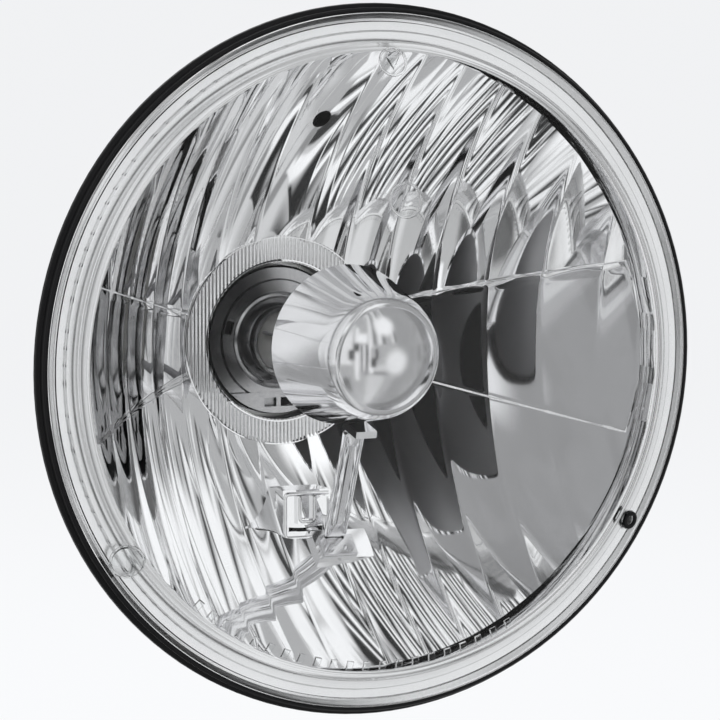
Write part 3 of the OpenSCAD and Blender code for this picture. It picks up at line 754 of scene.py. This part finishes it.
def rounded(corners, radius, steps=5):
    """Points along a line with each inner corner rounded; corners are (x, z)."""
    out = []
    for k, c in enumerate(corners):
        c = Vector(c)
        if k in (0, len(corners) - 1):
            out.append(c)
            continue
        a = (Vector(corners[k - 1]) - c).normalized() * radius
        b = (Vector(corners[k + 1]) - c).normalized() * radius
        out += [c + a * (1 - t) ** 2 + b * t * t for t in (i / steps for i in range(steps + 1))]
    return out


def block_bead(name, corners, radius, depth):
    """A round bead on the block's front; corners are (x, z below the block's top)."""
    line = rounded([(x, BLOCK_TOP - z) for x, z in corners], 1.1)
    ob = tube(name, [(x, BLOCK_Y + depth, z) for x, z in line], radius)
    finish_piece(ob, [M_MIRROR])


block_bead("block_frame", [(5.9, 1.0), (-5.95, 1.0), (-5.95, 12.2), (5.9, 12.2)], 0.55, 0.05)
block_bead("block_rib_bead", [(-2.05, 1.9), (-2.05, 8.1), (2.05, 8.1), (2.05, 1.9)], 0.42, -0.35)


# Materials of the pieces that stay as the CAD made them
def paint(node, *mats):
    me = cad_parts[node].data
    me.materials.clear()
    for mat in mats:
        me.materials.append(mat)
    return me


for node, mat in {
    "lens_sealant": M_SEAL, "shield_leg": M_STRAP, "leg_rivets": M_STRAP, "bulb_glass": M_QUARTZ,
    "bulb_collar": M_TIN, "bulb_flange": M_TIN, "bulb_base": M_TIN, "base_insulator": M_INSUL,
    "terminal_low_beam": M_TERMINAL, "terminal_high_beam": M_TERMINAL, "terminal_earth": M_TERMINAL,
    "filament_high": M_FILAMENT, "filament_low": M_FILAMENT, "low_beam_cup": M_FILAMENT,
    "lead_common": M_FILAMENT, "lead_high": M_FILAMENT, "lead_low": M_FILAMENT, "bulb_cement": M_CEMENT,
    "bulb_seat_ring": M_ZINC, "seat_screws": M_ZINC, "hinge_bracket": M_ZINC, "clip_rivets": M_ZINC,
    "clip_catch": M_ZINC, "bulb_clip": M_WIRE,
}.items():
    paint(node, mat)


def is_mirror(p):
    """Whether a face of the reflector lies on its mirrored inside."""
    c = p.center
    r = math.hypot(c.x, c.z) / MM
    y = c.y / MM
    bowl = bowl_y(c.x / MM, c.z / MM)
    if r > 84.3 or y > RING_Y + 0.8:
        return y > RING_Y and r < 40 and y < bowl + 0.6 and p.normal.y < -0.2
    return y < bowl + 0.8


for p in paint("reflector", M_BLACK, M_MIRROR).polygons:
    p.material_index = 1 if is_mirror(p) else 0


# The studio
BG = (0.945, 0.951, 0.965)


def seen_rays(nt):
    """1 for camera, glossy and transmission rays and 0 for the rest."""
    path = add(nt, "ShaderNodeLightPath")
    first = maths(nt, "MAXIMUM", path.outputs["Is Camera Ray"], path.outputs["Is Glossy Ray"])
    return maths(nt, "MAXIMUM", first, path.outputs["Is Transmission Ray"])


def make_world():
    world = bpy.data.worlds.new("studio")
    bpy.context.scene.world = world
    world.use_nodes = True
    nt = world.node_tree
    nt.nodes.clear()
    soft = add(nt, "ShaderNodeBackground")
    soft.inputs["Color"].default_value = (0.95, 0.96, 0.98, 1)
    soft.inputs["Strength"].default_value = 0.75
    pale = add(nt, "ShaderNodeBackground")
    pale.inputs["Color"].default_value = (*BG, 1)
    pale.inputs["Strength"].default_value = 1.0
    mix = add(nt, "ShaderNodeMixShader")
    out = add(nt, "ShaderNodeOutputWorld")
    nt.links.new(seen_rays(nt), mix.inputs[0])
    nt.links.new(soft.outputs[0], mix.inputs[1])
    nt.links.new(pale.outputs[0], mix.inputs[2])
    nt.links.new(mix.outputs[0], out.inputs["Surface"])


make_world()


def make_floor():
    """A pale floor, which the camera sees almost in the background's own colour."""
    half = 9
    level = -0.32
    mat = bpy.data.materials.new("floor")
    mat.use_nodes = True
    nt = mat.node_tree
    nt.nodes.clear()
    out = add(nt, "ShaderNodeOutputMaterial")
    diff = add(nt, "ShaderNodeBsdfDiffuse")
    diff.inputs["Color"].default_value = (0.85, 0.86, 0.87, 1)
    em = add(nt, "ShaderNodeEmission")
    em.inputs["Color"].default_value = (*BG, 1)
    mix = add(nt, "ShaderNodeMixShader")
    nt.links.new(maths(nt, "MULTIPLY", seen_rays(nt), 0.8), mix.inputs[0])
    nt.links.new(diff.outputs[0], mix.inputs[1])
    nt.links.new(em.outputs[0], mix.inputs[2])
    nt.links.new(mix.outputs[0], out.inputs["Surface"])
    corners = [(-half, -half, level), (half, -half, level), (half, half, level), (-half, half, level)]
    me = bpy.data.meshes.new("floor")
    me.from_pydata(corners, [], [(0, 1, 2, 3)])
    me.materials.append(mat)
    ob = bpy.data.objects.new("floor", me)
    bpy.context.scene.collection.objects.link(ob)
    ob.visible_glossy = False
    ob.visible_transmission = False


make_floor()


# The studio that the mirrors and the glass show: a dome with plain soft-edged cards of even grey on it.
# Azimuth runs from -Y towards -X and elevation from the horizon upwards, both in degrees. A card has
# its azimuths, its elevations, its level and the width of its soft edge; later ones cover earlier ones.
DOME_GREY = 0.46
DOME_GAIN = 1.18
CARDS = {
    "ceiling": (-200, 200, 75, 110, 0.75, 10),
    "back_right": (-200, -96, -100, 100, 0.95, 8),
    "right_grey": (-100, -32, -80, 64, 0.34, 14),
    "left_window": (41, 115, -16, 60, 0.85, 3),
    "front_floor": (-12, 18, -86, -16, 0.66, 10),
    "floor_edge": (-37, 23, -32, -26, 0.3, 3),
    "low_left_dark": (49, 66, -86, -36, 0.12, 8),
    "low_left_light": (67, 101, -60, -30, 0.8, 8),
    "panel_dark_1": (-12, -8, 14, 78, 0.1, 3),
    "panel_light_1": (-6, 0, 14, 70, 0.9, 3),
    "panel_dark_2": (4, 7, 14, 78, 0.06, 2.5),
    "panel_light_2": (9, 15, 10, 70, 0.9, 4),
    "panel_low_light": (8, 14, -30, -14, 0.95, 3),
    "panel_light_3": (31, 37, -40, 40, 0.95, 3),
    "panel_dark_3": (-31, -28, 14, 70, 0.08, 2),
    "panel_light_4": (-27, -23, 14, 70, 0.85, 3),
    "stand_1": (30, 38, 4, 17, 0.03, 4),
    "stand_1_foot": (37, 46, -9, 6, 0.03, 4),
    "stand_2": (1, 5, -8, 8, 0.03, 3),
    "stand_2_foot": (4, 12, -20, -6, 0.03, 4),
    "window_2": (17, 33, 17, 31, 1.0, 6),
}
# Thin upright tubes and gaps near the camera, which the flutes draw out into streaks:
# azimuth, width and level.
LINES = ((12.5, 2.5, 1.0), (16.5, 3, 0.05), (21.5, 2.5, 1.0), (25, 2.6, 0.05), (28.5, 1.5, 1.0))
for k, (left, width, shade) in enumerate(LINES):
    CARDS[f"line_{k + 1}"] = (left, left + width, -26, 14, shade, 1)
# Round lamps: azimuth, elevation, half angle, level and width of the soft edge.
DISCS = {
    "round_softbox": (-16, 40, 14, 1.0, 10),
    "low_glow": (-29, -13, 17, 0.85, 14),
}


def soft_edge(nt, value, a, b):
    m = add(nt, "ShaderNodeMapRange", interpolation_type="SMOOTHSTEP")
    m.inputs["From Min"].default_value = a
    m.inputs["From Max"].default_value = b
    nt.links.new(value, m.inputs["Value"])
    return m.outputs["Result"]


def lay_over(nt, level, shade, share):
    """The level with a shade laid over it, as far as share says."""
    under = maths(nt, "MULTIPLY", level, maths(nt, "SUBTRACT", 1.0, share))
    return maths(nt, "ADD", under, maths(nt, "MULTIPLY", shade, share))


def band(nt, value, low, high, soft):
    """1 from low to high and 0 outside, with soft edges."""
    h = soft / 2
    rise = soft_edge(nt, value, low - h, low + h)
    return maths(nt, "MULTIPLY", rise, soft_edge(nt, value, high + h, high - h))


def dome_material():
    mat = bpy.data.materials.new("studio_dome")
    mat.use_nodes = True
    nt = mat.node_tree
    nt.nodes.clear()
    degrees = 180 / math.pi
    coords = add(nt, "ShaderNodeTexCoord")
    unit = add(nt, "ShaderNodeVectorMath", operation="NORMALIZE")
    nt.links.new(coords.outputs["Object"], unit.inputs[0])
    parts = add(nt, "ShaderNodeSeparateXYZ")
    nt.links.new(unit.outputs["Vector"], parts.inputs["Vector"])
    back_x = maths(nt, "MULTIPLY", parts.outputs["X"], -1.0)
    back_y = maths(nt, "MULTIPLY", parts.outputs["Y"], -1.0)
    az = maths(nt, "MULTIPLY", maths(nt, "ARCTAN2", back_x, back_y), degrees)
    el = maths(nt, "MULTIPLY", maths(nt, "ARCSINE", parts.outputs["Z"]), degrees)
    level = DOME_GREY
    for az0, az1, el0, el1, shade, soft in CARDS.values():
        share = maths(nt, "MULTIPLY", band(nt, az, az0, az1, soft), band(nt, el, el0, el1, soft))
        level = lay_over(nt, level, shade, share)
    for az0, el0, half, shade, soft in DISCS.values():
        a = math.radians(az0)
        e = math.radians(el0)
        centre = (-math.sin(a) * math.cos(e), -math.cos(a) * math.cos(e), math.sin(e))
        towards = add(nt, "ShaderNodeVectorMath", operation="DOT_PRODUCT")
        nt.links.new(unit.outputs["Vector"], towards.inputs[0])
        towards.inputs[1].default_value = centre
        off = maths(nt, "MULTIPLY", maths(nt, "ARCCOSINE", towards.outputs["Value"]), degrees)
        level = lay_over(nt, level, shade, soft_edge(nt, off, half + soft / 2, half - soft / 2))
    em = add(nt, "ShaderNodeEmission")
    em.inputs["Color"].default_value = (0.985, 0.99, 1.0, 1)
    nt.links.new(maths(nt, "MULTIPLY", level, DOME_GAIN), em.inputs["Strength"])
    out = add(nt, "ShaderNodeOutputMaterial")
    nt.links.new(em.outputs[0], out.inputs["Surface"])
    return mat


def make_dome():
    """The studio's dome, which only mirrors and glass show."""
    me = bpy.data.meshes.new("studio_dome")
    bm = bmesh.new()
    bmesh.ops.create_icosphere(bm, subdivisions=4, radius=3.0)
    bm.to_mesh(me)
    bm.free()
    me.materials.append(dome_material())
    ob = bpy.data.objects.new("studio_dome", me)
    bpy.context.scene.collection.objects.link(ob)
    ob.visible_camera = False
    ob.visible_shadow = False
    ob.visible_diffuse = False


make_dome()


def area(name, place, target, size, power):
    """A lamp that lights what is dull and isn't seen in mirrors or glass."""
    data = bpy.data.lights.new(name, "AREA")
    data.shape = "RECTANGLE"
    data.size, data.size_y = size
    data.energy = power
    ob = bpy.data.objects.new(name, data)
    bpy.context.scene.collection.objects.link(ob)
    ob.location = place
    d = (Vector(target) - Vector(place)).normalized()
    ob.rotation_euler = d.to_track_quat("-Z", "Y").to_euler()
    ob.visible_glossy = False
    ob.visible_transmission = False


area("soft_top", (-0.6, -1.2, 2.0), (0, 0, 0), (1.6, 1.2), 22)
area("soft_right", (1.8, -0.8, 0.6), (0, 0, 0), (1.0, 1.4), 9)
area("soft_back", (0.3, 1.8, 1.2), (0, 0.03, 0), (1.4, 1.0), 12)

bpy.context.scene.view_settings.view_transform = "Standard"
